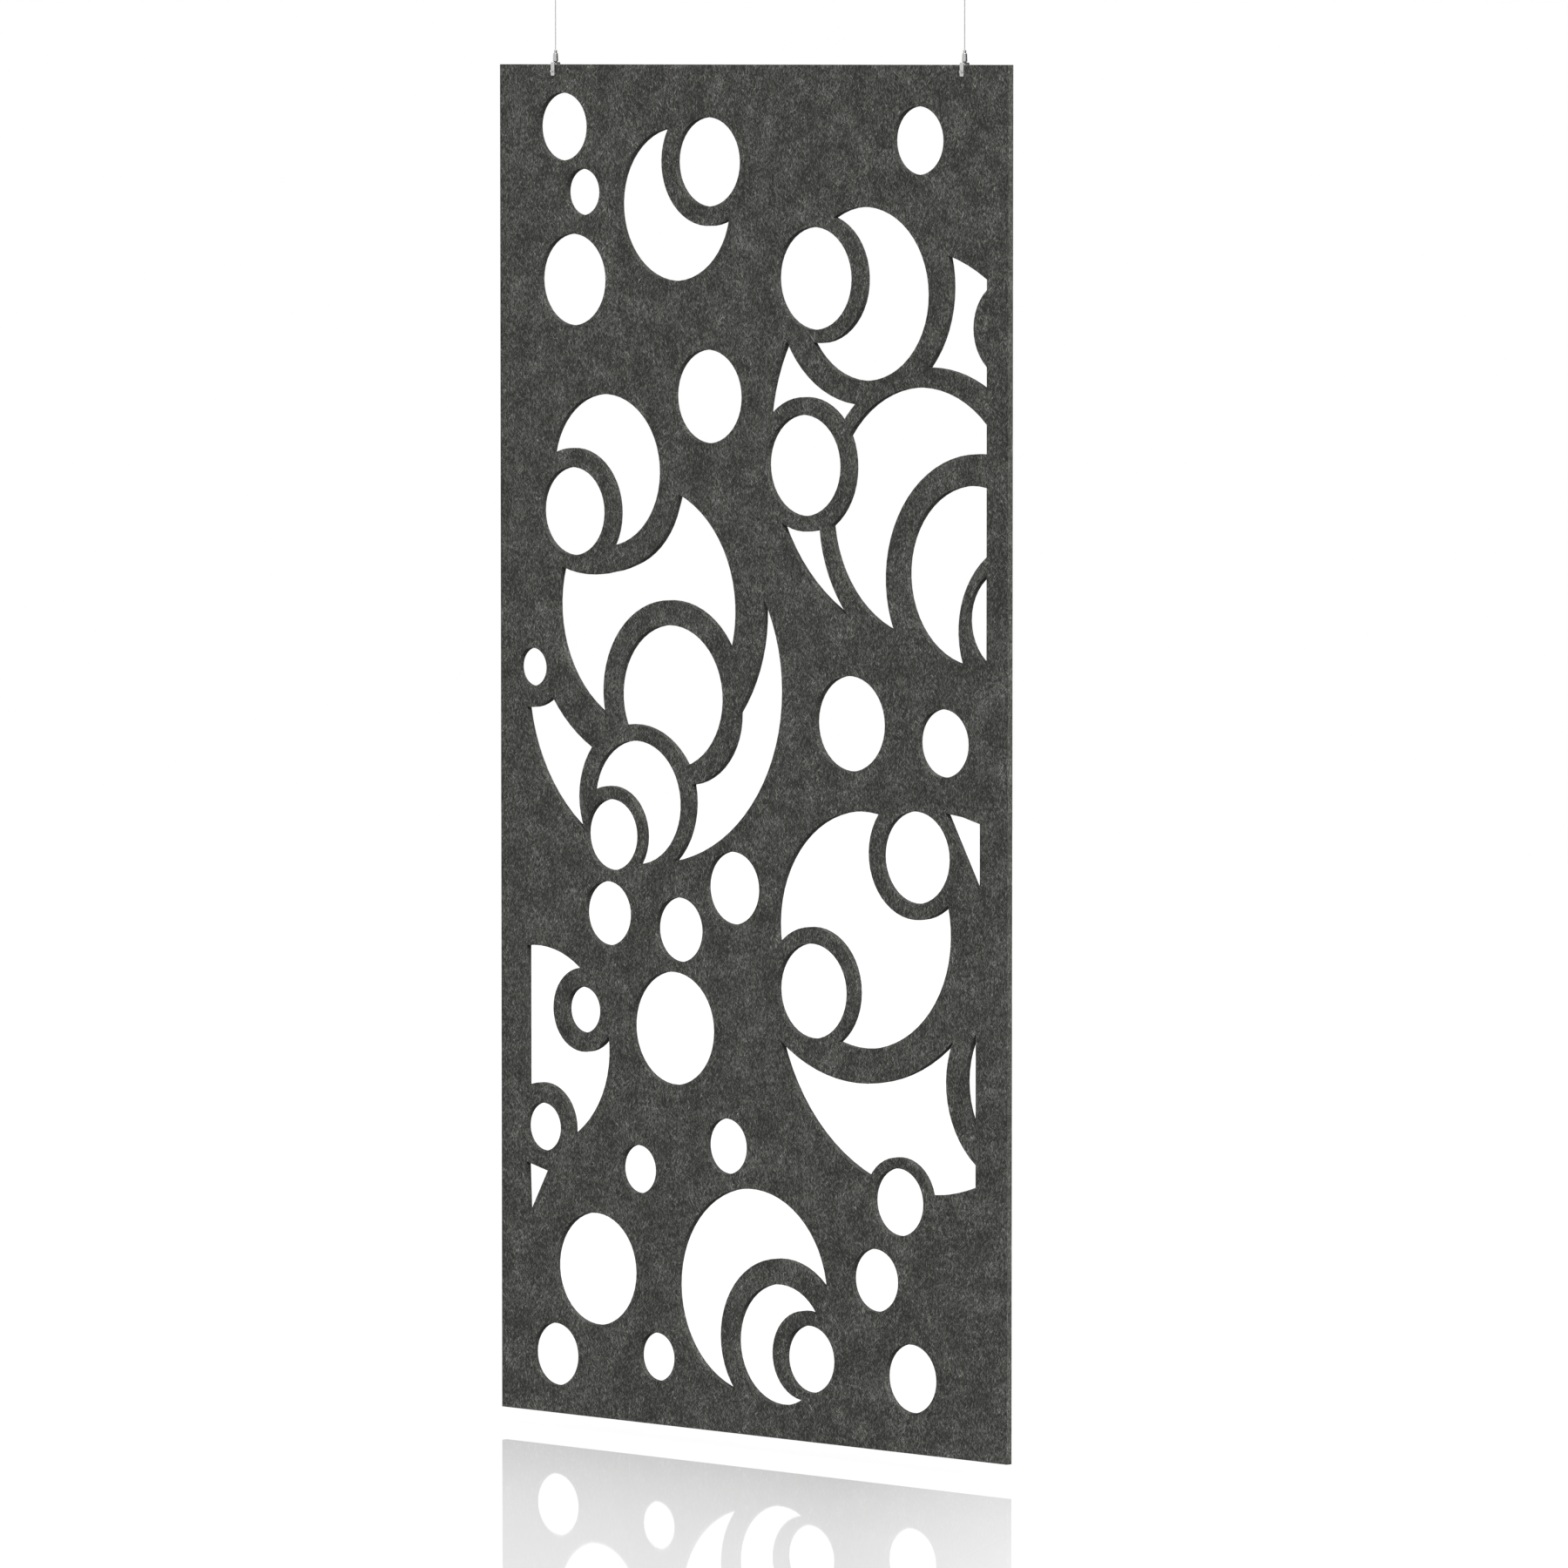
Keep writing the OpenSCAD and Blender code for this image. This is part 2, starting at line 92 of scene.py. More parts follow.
def gridFaces(rows, columns):
    # Quads of a grid of rows by columns, where each row is a ring.
    i = np.arange(rows - 1)[:, None]
    j = np.arange(columns)[None, :]
    a = i * columns + j
    b = i * columns + (j + 1) % columns
    return np.stack([a, b, b + columns, a + columns], -1).reshape(-1, 4)


def gridUv(lengths, columns):
    # u is the share of the way round, v the distance along the profile in metres.
    v = np.asarray(lengths)[:, None] * mm
    u = np.arange(columns)[None, :] / columns
    low, high = v[:-1] + 0 * u, v[1:] + 0 * u
    near, far = u + 0 * v[:-1], u + 1 / columns + 0 * v[:-1]
    return np.stack([near, low, far, low, far, high, near, high], -1)


def finishMesh(piece, sharp=35):
    # Joins doubles, closes rims, turns faces outwards, and keeps edges over so many degrees sharp.
    shape = bmesh.new()
    shape.from_mesh(piece.data)
    bmesh.ops.remove_doubles(shape, verts=shape.verts, dist=weld * mm)
    bmesh.ops.holes_fill(shape, edges=[e for e in shape.edges if e.is_boundary])
    bmesh.ops.recalc_face_normals(shape, faces=shape.faces)
    shape.to_mesh(piece.data)
    shape.free()
    piece.data.polygons.foreach_set("use_smooth", [True] * len(piece.data.polygons))
    piece.data.set_sharp_from_angle(angle=math.radians(sharp))
    return piece


def roundedOutline(corners, closed=True, steps=5):
    # Corners are (x, y, rounding). A rounding r becomes the arc that touches both sides, r / tan
    # of half the corner's angle away from it, with one more point on the flat at either end.
    xy = np.array([corner[:2] for corner in corners], float)
    count = len(corners)
    points = []
    for i, (_, _, r) in enumerate(corners):
        if r == 0 or (not closed and i in (0, count - 1)):
            points.append(xy[i][None])
            continue
        before = (xy[i - 1] - xy[i]) / np.linalg.norm(xy[i - 1] - xy[i])
        after = (xy[(i + 1) % count] - xy[i]) / np.linalg.norm(xy[(i + 1) % count] - xy[i])
        half = math.acos(np.clip(before @ after, -1, 1)) / 2
        reach = r / math.tan(half)
        centre = xy[i] + (before + after) / np.linalg.norm(before + after) * r / math.sin(half)
        start = xy[i] + before * reach - centre
        end = xy[i] + after * reach - centre
        turn = math.atan2(start[0] * end[1] - start[1] * end[0], start @ end)
        a = math.atan2(start[1], start[0]) + np.linspace(0, turn, steps + 1)
        arc = centre + r * np.column_stack([np.cos(a), np.sin(a)])
        edge = flatShare * r
        points += [arc[:1] + before * edge, arc, arc[-1:] + after * edge]
    return np.vstack(points)


upright = np.array([[1, 0, 0], [0, 1, 0], [0, 0, 1]], float)       # the third axis is the turning axis
outOfFront = np.array([[1, 0, 0], [0, 0, 1], [0, -1, 0]], float)


def turnedPiece(name, outline, origin, axes=upright, closed=True, around=96, relief=None):
    # The outline of (radius, height) is turned about an axis: x = r cos a, y = r sin a, height h.
    # relief gives the radius at each angle and height from the outline's own.
    if closed:
        outline = np.vstack([outline, outline[:1]])
    a = np.linspace(0, 2 * np.pi, around, endpoint=False)[None, :]
    r, h = outline[:, :1], outline[:, 1:]
    if relief is not None:
        r = relief(r, a, h)
    local = np.stack([r * np.cos(a), r * np.sin(a), h + 0 * a], -1).reshape(-1, 3)
    lengths = np.append(0, np.cumsum(np.linalg.norm(np.diff(outline, axis=0), axis=1)))
    faces = gridFaces(len(outline), around)
    return finishMesh(makeMesh(name, local @ axes + origin, faces, gridUv(lengths, around)))


def cutAway(piece, cutters):
    # Takes the cutters' solids out of the piece.
    for cutter in cutters:
        cut = piece.modifiers.new("cut", "BOOLEAN")
        cut.object = cutter
        cut.solver = "EXACT"
    bpy.context.view_layer.update()
    shown = piece.evaluated_get(bpy.context.evaluated_depsgraph_get())
    mesh = bpy.data.meshes.new_from_object(shown)
    piece.modifiers.clear()
    piece.data = mesh
    mesh.name = piece.name
    for cutter in cutters:
        bpy.data.objects.remove(cutter)
    return finishMesh(piece)


def standFor(piece, node):
    # The piece shows in a node's place, on its body.
    body = next(b for b, nodes in record["behaviour"]["bodies"].items() if node in nodes)
    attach(piece, body)
    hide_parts(node)
    return piece


def nodeBox(node):
    low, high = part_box(node)
    return np.array(low) / mm, np.array(high) / mm


pieces = {}      # material name: the pieces that it dresses


def dressedIn(material, piece):
    pieces.setdefault(material, []).append(piece)
    return piece


# Cables: six strands laid round a core. The free length runs from the gripper's mouth to the ball, and
# the held length on through the button and the balls into the coupling screw.
cable = {
    "diameter": 1.5,
    "lay": 11.0,          # height of one turn of a strand
    "strands": 6,
    "around": 60,
    "step": 0.35,         # between two rings of points
    "gap": 0.01,          # air between the two lengths
    "lean": 12.5,         # slope in degrees of the held length's end, for the free one to lean on
    "sharp": 70,          # edges over so many degrees stay sharp
    "routePoints": 21,
}


def strandedCable(name, spec, x, foot, top, slope=0.0):
    # Radius at angle a and height z of round strands that wind up the cable: with f the angle
    # from the nearest strand's middle, radius = 2s cos f + sqrt(s^2 - (2s sin f)^2), where s, a
    # strand's radius, is a sixth of the cable's diameter.
    strand = spec["diameter"] / 6
    rows = int((top - foot) / spec["step"]) + 1
    z = np.linspace(foot, top, rows)[:, None]
    a = np.linspace(0, 2 * np.pi, spec["around"], endpoint=False)[None, :]
    sector = 2 * np.pi / spec["strands"]
    f = (a - 2 * np.pi * z / spec["lay"] + sector / 2) % sector - sector / 2
    radius = 2 * strand * np.cos(f) + np.sqrt(np.clip(strand**2 - (2 * strand * np.sin(f))**2, 0, None))
    # The last ring sinks by the slope of the upper end, and a ring of no size closes it to a tip.
    points = np.stack([x + radius * np.cos(a), radius * np.sin(a), z + 0 * a], -1)
    points[-1, :, 2] -= radius[-1] * math.tan(math.radians(slope))
    points = np.vstack([points.reshape(-1, 3), np.tile((x, 0, top), (spec["around"], 1))])
    faces = gridFaces(rows + 1, spec["around"])
    lengths = np.append(z[:, 0], top + spec["diameter"] / 2) - foot
    return finishMesh(makeMesh(name, points, faces, gridUv(lengths, spec["around"])), spec["sharp"])


for side in sides:
    low, high = nodeBox(f"{side}_cable")
    x, foot, top = (low[0] + high[0]) / 2, low[2], high[2]
    free = strandedCable(f"{side}StrandedCable", cable, x, foot, top)
    standFor(dressedIn("strandedSteel", free), f"{side}_cable")
    heldFoot = nodeBox(f"{side}_gripped_cable")[0][2]
    held = strandedCable(f"{side}HeldCable", cable, x, heldFoot, foot - cable["gap"], cable["lean"])
    standFor(dressedIn("strandedSteel", held), f"{side}_gripped_cable")
print("cables made")


# Ceiling fitting: a base that is screwed to the ceiling, and a cap screwed over its boss.
ceilingFitting = {
    "flange": 2.5,
    "boss": 20.0,
    "bossHeight": 9.0,
    "hole": 5.0,
    "countersink": 10.0,
    "pitch": 1.5,
    "thread": 0.5,        # depth of the boss's thread
    "threadStep": 0.15,   # between two rings of its points
    "threadPlain": 0.1,   # left plain at either end
    "rim": 9.0,           # rounding of the cap's lower rim
    "capBore": 13.0,      # depth of the cap's bore below the ceiling
    "capFloor": 4.0,      # metal below the ball
    "slip": 0.05,
    "ballSeat": 3.05,     # radius of the seat that the ball turns in
    "seatEnd": 57.0,      # degrees below the ball's middle where the seat meets the mouth
    "ballPassage": 3.3,
    "mouth": 1.0,         # the mouth's radius at the ball's centre, from where it flares
    "mouthSlope": 20.0,
    "ball": 6.0,
    "edge": 0.4,
    "fineEdge": 0.2,
    "boreEdge": 0.3,
    "mouthEdge": 0.6,
    "stubEdge": 0.15,
    "arcSteps": 9,
    "seatPoints": 16,
    "ballPoints": 40,
    "around": 128,
    "ballAround": 64,
}


def threadRelief(major, depth, pitch, low, high):
    # Between two heights the radius falls by a triangle wave of (height / pitch - angle / 2 pi).
    def relief(r, a, h):
        wave = np.abs((h / pitch - a / (2 * np.pi)) % 1 - 0.5) * 2
        fade = np.clip(np.minimum(h - low, high - h) / pitch, 0, 1)
        return np.where(np.isclose(r, major), r - depth * wave * fade, r)
    return relief


def ceilingBase(name, spec, x, radius):
    bossEnd = -spec["flange"] - spec["bossHeight"]
    bossRadius, hole, sink = spec["boss"] / 2, spec["hole"] / 2, spec["countersink"] / 2
    plain = spec["threadPlain"]
    threadRows = [(bossRadius, h, 0)
                  for h in np.arange(-spec["flange"] - plain, bossEnd + plain, -spec["threadStep"])]
    corners = [(hole, 0, 0), (radius, 0, spec["edge"]), (radius, -spec["flange"], spec["edge"]),
               (bossRadius, -spec["flange"], 0), *threadRows, (bossRadius, bossEnd, 0),
               (sink, bossEnd, spec["fineEdge"]), (hole, bossEnd + sink - hole, 0)]
    relief = threadRelief(bossRadius, spec["thread"], spec["pitch"], bossEnd, -spec["flange"])
    return turnedPiece(name, roundedOutline(corners), (x, 0, 0), relief=relief)


def ceilingCap(name, spec, x, radius, foot):
    ballHeight = foot + spec["capFloor"] + spec["ball"] / 2
    bore = spec["boss"] / 2 + spec["slip"]
    flare = spec["mouth"] + (ballHeight - foot) * math.tan(math.radians(spec["mouthSlope"]))
    slope = math.radians(90 - spec["mouthSlope"])
    # The seat is an arc from the passage's wall down to where it meets the flared mouth.
    seatAngles = np.linspace(0, -math.radians(spec["seatEnd"]), spec["seatPoints"])
    seat = [(spec["ballSeat"] * math.cos(a), ballHeight + spec["ballSeat"] * math.sin(a), 0)
            for a in seatAngles]
    meet = seat[-1][0]
    mouthTop = foot + (flare - meet) * math.tan(slope)
    corners = [(bore, -spec["flange"], spec["fineEdge"]), (radius, -spec["flange"], spec["edge"]),
               (radius, foot, spec["rim"]), (flare, foot, spec["mouthEdge"]), (meet, mouthTop, 0),
               *seat[::-1][1:], (spec["ballPassage"], ballHeight, 0),
               (spec["ballPassage"], -spec["capBore"], spec["fineEdge"]),
               (bore, -spec["capBore"], spec["boreEdge"])]
    outline = roundedOutline(corners, steps=spec["arcSteps"])
    return turnedPiece(name, outline, (x, 0, 0), around=spec["around"])


def cableBall(name, spec, x, foot, top):
    # A sphere with the crimped cable's stub on top, as one outline from axis to axis.
    radius, stub = spec["ball"] / 2, cable["diameter"] / 2
    a = np.linspace(-np.pi / 2, np.arccos(stub / radius), spec["ballPoints"])
    ball = np.column_stack([radius * np.cos(a), foot + radius + radius * np.sin(a)])
    ball[0, 0] = 0
    end = roundedOutline([(stub, ball[-1, 1], 0), (stub, top, spec["stubEdge"]), (0, top, 0)],
                         closed=False)
    outline = np.vstack([ball, end[1:]])
    return turnedPiece(name, outline, (x, 0, 0), closed=False, around=spec["ballAround"])


for side in sides:
    low, high = nodeBox(f"{side}_ceiling_cap")
    x, radius = (low[0] + high[0]) / 2, (high[0] - low[0]) / 2
    cap = ceilingCap(f"{side}CeilingCap", ceilingFitting, x, radius, low[2])
    standFor(dressedIn("turnedNickel", cap), f"{side}_ceiling_cap")
    base = ceilingBase(f"{side}CeilingBase", ceilingFitting, x, radius)
    standFor(dressedIn("turnedNickel", base), f"{side}_ceiling_base")
    low, high = nodeBox(f"{side}_cable_ball")
    ball = cableBall(f"{side}CableBall", ceilingFitting, x, low[2], high[2])
    standFor(dressedIn("polishedSteel", ball), f"{side}_cable_ball")
    low, high = nodeBox(f"{side}_cable")
print("ceiling fittings made")


# Cable gripper: a turned housing whose cone wedges three balls on the cable, and its button.
gripper = {
    "button": 5.6,
    "bore": 0.85,         # radius of the cable's way through the button
    "slip": 0.05,
    "thread": 2.5,        # radius of the thread for the coupling screw
    "threadEnd": 4.6,     # this and the next five are heights from the housing's foot
    "neck": 11.0,
    "pocket": 11.4,
    "shoulder": 13.0,
    "sleeveFoot": 7.7,
    "balls": 9.0,
    "sleeve": 1.52,       # radius of the button's sleeve
    "coneFoot": 2.446,    # radius of the cone at its foot and at its neck
    "coneNeck": 1.773,
    "ball": 1.2,
    "ballSlip": 0.025,
    "windows": 3,         # one in the button's sleeve for each ball
    "windowDepth": 3,
    "top": 4.3,           # radius of the housing's upper end
    "edge": 0.4,
    "footEdge": 0.2,
    "mouthEdge": 0.15,
    "fineEdge": 0.1,
    "around": 128,
    "windowAround": 32,
}


def gripperHousing(name, spec, x, foot, top, radius):
    height = top - foot
    pocket, sleeve = spec["button"] / 2 + spec["slip"], spec["sleeve"] + spec["slip"]
    corners = [(spec["thread"], 0, spec["footEdge"]), (radius, 0, spec["edge"]),
               (spec["top"], height, spec["edge"]), (pocket, height, spec["mouthEdge"]),
               (pocket, spec["pocket"], 0), (sleeve, spec["pocket"], 0), (sleeve, spec["neck"], 0),
               (spec["coneNeck"], spec["neck"], 0), (spec["coneFoot"], spec["threadEnd"], 0),
               (spec["thread"], spec["threadEnd"], 0)]
    return turnedPiece(name, roundedOutline(corners), (x, 0, foot), around=spec["around"])


def releaseButton(name, spec, x, housingFoot, top):
    height, radius, bore = top - housingFoot, spec["button"] / 2, spec["bore"]
    edge, fineEdge = spec["edge"], spec["fineEdge"]
    corners = [(bore, spec["sleeveFoot"], fineEdge), (spec["sleeve"], spec["sleeveFoot"], fineEdge),
               (spec["sleeve"], spec["shoulder"], 0), (radius, spec["shoulder"], spec["mouthEdge"]),
               (radius, height, edge), (bore + edge, height, fineEdge),
               (bore, height - edge - fineEdge, spec["footEdge"])]
    button = turnedPiece(name, roundedOutline(corners), (x, 0, housingFoot))
    wide, deep = spec["ball"] / 2 + spec["ballSlip"], spec["windowDepth"]
    outline = np.array([(0, 0), (wide, 0), (wide, deep), (0, deep)])
    windows = []
    for k in range(spec["windows"]):
        a = math.radians(90 + 360 / spec["windows"] * k)
        outward = np.array([[-math.sin(a), math.cos(a), 0], [0, 0, 1], [math.cos(a), math.sin(a), 0]])
        windows.append(turnedPiece("window", outline, (x, 0, housingFoot + spec["balls"]), outward,
                                   closed=False, around=spec["windowAround"]))
    return cutAway(button, windows)


# Spring under the button: an open coil, which in the real gripper shortens by as much as the button is
# pressed.
spring = {
    "wire": 0.4,
    "turns": 3.5,
    "steps": 48,          # rings of points in one turn
    "around": 14,
}


def coilSpring(name, spec, x, foot, top, outside):
    # The wire's middle runs at r (cos t, sin t) and rises evenly from end to end.
    wire, count = spec["wire"] / 2, int(spec["turns"] * spec["steps"]) + 1
    t = np.linspace(0, spec["turns"] * 2 * np.pi, count)[:, None]
    a = np.linspace(0, 2 * np.pi, spec["around"], endpoint=False)[None, :]
    radius = outside - wire + wire * np.cos(a)
    z = foot + wire + (top - foot - 2 * wire) * t / t[-1] + wire * np.sin(a)
    points = np.stack([x + radius * np.cos(t), radius * np.sin(t), z], -1).reshape(-1, 3)
    faces = gridFaces(count, spec["around"])
    return finishMesh(makeMesh(name, points, faces, gridUv(t[:, 0], spec["around"])))


# The screw under the bridge, the ring between bridge and gripper, and the forks that grip the board.
hanger = {
    "screw": 5.0,
    "pitch": 0.8,
    "thread": 0.4,        # depth of the screw's thread
    "threadStep": 0.08,
    "threadPlain": 0.1,   # left plain below the thread
    "threadEnd": 0.35,    # from the thread's last ring of points to the screw's end
    "tip": 0.3,
    "headHeight": 1.8,
    "socket": 1.5,        # from the hexagon's middle to its corners
    "socketDepth": 1.0,
    "well": 0.95,         # radius of the well that the cable's end stands in
    "wellDepth": 3.0,
    "ringHole": 2.6,
    "ringEdge": 0.2,
    "ringHoleEdge": 0.15,
    "edge": 0.25,
    "past": 1,            # how far a cutter stands out of what it cuts
}


def couplingScrew(name, spec, x, foot, top, radius):
    height, thread = top - foot, spec["screw"] / 2
    rows = [(thread, h, 0) for h in np.arange(spec["headHeight"] + spec["threadPlain"],
                                              height - spec["threadEnd"], spec["threadStep"])]
    corners = [(0, 0, 0), (radius, 0, spec["edge"]), (radius, spec["headHeight"], spec["edge"]),
               (thread, spec["headHeight"], 0), *rows, (thread, height - spec["tip"], 0),
               (thread - spec["tip"], height, 0), (spec["well"], height, 0),
               (spec["well"], height - spec["wellDepth"], 0),
               (0, height - spec["wellDepth"], 0)]
    relief = threadRelief(thread, spec["thread"], spec["pitch"], spec["headHeight"], height)
    screw = turnedPiece(name, roundedOutline(corners, closed=False), (x, 0, foot), closed=False,
                        relief=relief)
    hexagon = np.array([(0, -spec["past"]), (spec["socket"], -spec["past"]),
                        (spec["socket"], spec["socketDepth"]), (0, spec["socketDepth"])])
    return cutAway(screw, [turnedPiece("socket", hexagon, (x, 0, foot), closed=False, around=6)])


def spacerRing(name, spec, x, foot, top, radius):
    height, hole = top - foot, spec["ringHole"]
    corners = [(hole, 0, spec["ringHoleEdge"]), (radius, 0, spec["ringEdge"]),
               (radius, height, spec["ringEdge"]), (hole, height, spec["ringHoleEdge"])]
    return turnedPiece(name, roundedOutline(corners), (x, 0, foot))


fork = {
    "thickness": 1.5,
    "bend": 1.75,         # radius of the strip's middle in its two bends
    "foot": 1.5,          # rounding of the legs' lower corners
    "edge": 0.25,
    "screwHole": 2.6,
    "clampHole": 2.05,
    "clampDrop": 15.5,    # from the bridge's top down to the clamp screw
    "past": 2,            # how far a cutter reaches to either side of the strip's middle
    "bendSteps": 12,
    "cornerPoints": 8,
    "legPoints": 5,
    "holeAround": 64,
}


def forkStrip(name, spec, x, low, high):
    # A rounded rectangle is carried along a path of three straights and two bends. Its half width
    # w shrinks to w - r + sqrt(r^2 - (r - d)^2) at a distance d < r from either end.
    half, inner = (high[0] - low[0]) / 2, spec["thickness"] / 2
    front, back, bridge, r = low[1] + inner, high[1] - inner, high[2] - inner, spec["foot"]
    path = roundedOutline([(front, low[2], 0), (front, bridge, spec["bend"]),
                           (back, bridge, spec["bend"]), (back, low[2], 0)],
                          closed=False, steps=spec["bendSteps"])
    lengths = np.append(0, np.cumsum(np.linalg.norm(np.diff(path, axis=0), axis=1)))
    corner = r * (1 - np.cos(np.linspace(0, np.pi / 2, spec["cornerPoints"])))
    legs = np.linspace(r, lengths[1], spec["legPoints"])[1:-1]
    d = np.unique(np.concatenate([corner, legs, lengths, lengths[-1] - corner, lengths[-1] - legs]))
    y, z = np.interp(d, lengths, path[:, 0]), np.interp(d, lengths, path[:, 1])
    tangent = np.column_stack([np.gradient(y, d), np.gradient(z, d)])
    tangent /= np.linalg.norm(tangent, axis=1)[:, None]
    toEnd = np.clip(np.minimum(d, lengths[-1] - d), 0, r)
    width = 1 - (r - np.sqrt(r**2 - (r - toEnd)**2)) / half
    section = roundedOutline([(-half, -inner, spec["edge"]), (half, -inner, spec["edge"]),
                              (half, inner, spec["edge"]), (-half, inner, spec["edge"])])
    across, through = section[None, :, 0] * width[:, None], section[None, :, 1]
    points = np.stack([x + across, y[:, None] - tangent[:, 1:] * through,
                       z[:, None] + tangent[:, :1] * through], -1).reshape(-1, 3)
    faces = gridFaces(len(d), len(section))
    strip = finishMesh(makeMesh(name, points, faces, gridUv(d, len(section))))
    hole = np.array([(0, -1), (1, -1), (1, 1), (0, 1)])
    screwHole = turnedPiece("hole", hole * (spec["screwHole"], spec["past"]), (x, 0, bridge),
                            closed=False, around=spec["holeAround"])
    clampHole = turnedPiece("hole", hole * (spec["clampHole"], spec["past"]),
                            (x, front, high[2] - spec["clampDrop"]), outOfFront,
                            closed=False, around=spec["holeAround"])
    return cutAway(strip, [screwHole, clampHole])


# Clamp screw: a knurled and slotted head on an M4 thread, with a nylon pad pressed into its tip.
clamp = {
    "thread": 4.0,
    "pitch": 0.7,
    "threadDepth": 0.35,
    "threadStep": 0.05,
    "grooves": 20,
    "groove": 0.3,        # radius of the grooves round the head
    "groovePoints": 16,   # points round the screw for each groove
    "grooveFrom": 0.6,    # from the head's foot to the first ring of points on its side
    "inset": 0.7,         # of the last points on the head's side and face from their edge
    "grooveRings": 4,
    "near": 0.01,         # heights this near to the head's foot belong to the head
    "slot": 0.8,
    "slotDepth": 0.9,
    "headHeight": 3.0,
    "headEdge": 0.2,
    "padHeight": 1,
    "padEdge": 0.15,
    "padAround": 64,
    "air": 0.02,          # between the pad and the board
    "stem": 0.9,
    "stemHole": 0.95,
    "stemEdge": 0.2,
    "holeDepth": 1.8,
    "edge": 0.35,
    "past": 1,            # how far the cutter of the slot stands out
}


def clampScrew(name, spec, x, z, tip, end, radius):
    # Heights are distances in front of the board's middle. In the head the radius is the smaller
    # of the outline's and R - sqrt(g^2 - (R f)^2), with f the angle from the nearest groove.
    thread, headFoot = spec["thread"] / 2, end - spec["headHeight"]
    wave = threadRelief(thread, spec["threadDepth"], spec["pitch"], tip, headFoot)
    sector = 2 * np.pi / spec["grooves"]

    def relief(r, a, h):
        f = (a + sector / 2) % sector - sector / 2
        groove = np.sqrt(np.clip(spec["groove"]**2 - (radius * f)**2, 0, None))
        return np.where(h >= headFoot - spec["near"], np.minimum(r, radius - groove), wave(r, a, h))

    step, sideFrom, sideTo = spec["threadStep"], headFoot + spec["grooveFrom"], end - spec["inset"]
    threadRows = [(thread, h, 0) for h in np.arange(tip + step, headFoot, step)]
    sideRows = [(radius, h, 0) for h in np.linspace(sideFrom, sideTo, spec["grooveRings"])]
    corners = [(0, tip + spec["holeDepth"], 0), (spec["stemHole"], tip + spec["holeDepth"], 0),
               (spec["stemHole"], tip, 0), *threadRows, (thread, headFoot, 0),
               (radius, headFoot, spec["headEdge"]), *sideRows, (radius, end, spec["edge"]),
               (radius - spec["inset"], end, 0), (0, end, 0)]
    screw = turnedPiece(name, roundedOutline(corners, closed=False), (x, 0, z), outOfFront,
                        closed=False, around=spec["grooves"] * spec["groovePoints"], relief=relief)
    width, depth, past = spec["slot"] / 2, spec["slotDepth"], spec["past"]
    boxPoints = np.array([(x + i, -end + j, z + k) for i in (-radius - past, radius + past)
                          for j in (-past, depth) for k in (-width, width)])
    boxFaces = np.array([(0, 1, 3, 2), (4, 6, 7, 5), (0, 4, 5, 1), (2, 3, 7, 6), (0, 2, 6, 4),
                         (1, 5, 7, 3)])
    slotBox = finishMesh(makeMesh("slot", boxPoints, boxFaces, np.zeros((24, 2))))
    return cutAway(screw, [slotBox])


def clampPad(name, spec, x, z, foot, end, radius):
    headFoot, headEnd, edge = foot + spec["air"], foot + spec["padHeight"], spec["padEdge"]
    corners = [(0, headFoot, 0), (radius, headFoot, edge), (radius, headEnd, edge),
               (spec["stem"], headEnd, 0), (spec["stem"], end, spec["stemEdge"]), (0, end, 0)]
    return turnedPiece(name, roundedOutline(corners, closed=False), (x, 0, z), outOfFront,
                       closed=False, around=spec["padAround"])


for side in sides:
    low, high = nodeBox(f"{side}_gripper_housing")
    x, foot = (low[0] + high[0]) / 2, low[2]
    housing = gripperHousing(f"{side}GripperHousing", gripper, x, foot, high[2], (high[0] - low[0]) / 2)
    standFor(dressedIn("turnedNickel", housing), f"{side}_gripper_housing")
    low, high = nodeBox(f"{side}_release_button")
    button = releaseButton(f"{side}ReleaseButton", gripper, x, foot, high[2])
    standFor(dressedIn("turnedNickel", button), f"{side}_release_button")
    low, high = nodeBox(f"{side}_coupling_screw")
    screw = couplingScrew(f"{side}CouplingScrew", hanger, x, low[2], high[2], (high[0] - low[0]) / 2)
    standFor(dressedIn("turnedNickel", screw), f"{side}_coupling_screw")
    low, high = nodeBox(f"{side}_spacer_ring")
    ring = spacerRing(f"{side}SpacerRing", hanger, x, low[2], high[2], (high[0] - low[0]) / 2)
    # The spacer ring's dark steel is painted shade for the shadowed gap it sits in.
    standFor(dressedIn("shadePaintedSteel", ring), f"{side}_spacer_ring")
    low, high = nodeBox(f"{side}_fork")
    standFor(dressedIn("brushedNickel", forkStrip(f"{side}Fork", fork, x, low, high)), f"{side}_fork")
    low, high = nodeBox(f"{side}_clamp_screw")
    z, radius = (low[2] + high[2]) / 2, (high[0] - low[0]) / 2
    screw = clampScrew(f"{side}ClampScrew", clamp, x, z, -high[1], -low[1], radius)
    standFor(dressedIn("turnedNickel", screw), f"{side}_clamp_screw")
    low, high = nodeBox(f"{side}_clamp_pad")
    pad = clampPad(f"{side}ClampPad", clamp, x, z, -high[1], -low[1], (high[0] - low[0]) / 2)
    standFor(dressedIn("mouldedNylon", pad), f"{side}_clamp_pad")
    dressedIn("polishedSteel", frame["nodes"][f"{side}_grip_balls"])
    low, high = nodeBox(f"{side}_button_spring")
    coil = coilSpring(f"{side}ButtonSpring", spring, x, low[2], high[2], high[0] - x)
    standFor(dressedIn("springSteel", coil), f"{side}_button_spring")
    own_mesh(coil)
print("grippers, forks and clamp screws made")


# Board: one sheet cut through by a router, so that its edges are only broken a little.
board = {
    "edge": 0.5,
    "edgeSteps": 2,
    "sharp": 35,          # degrees over which an edge is broken
    "weld": 0.001,
    "flat": 0.1,          # degrees under which two faces are one
}


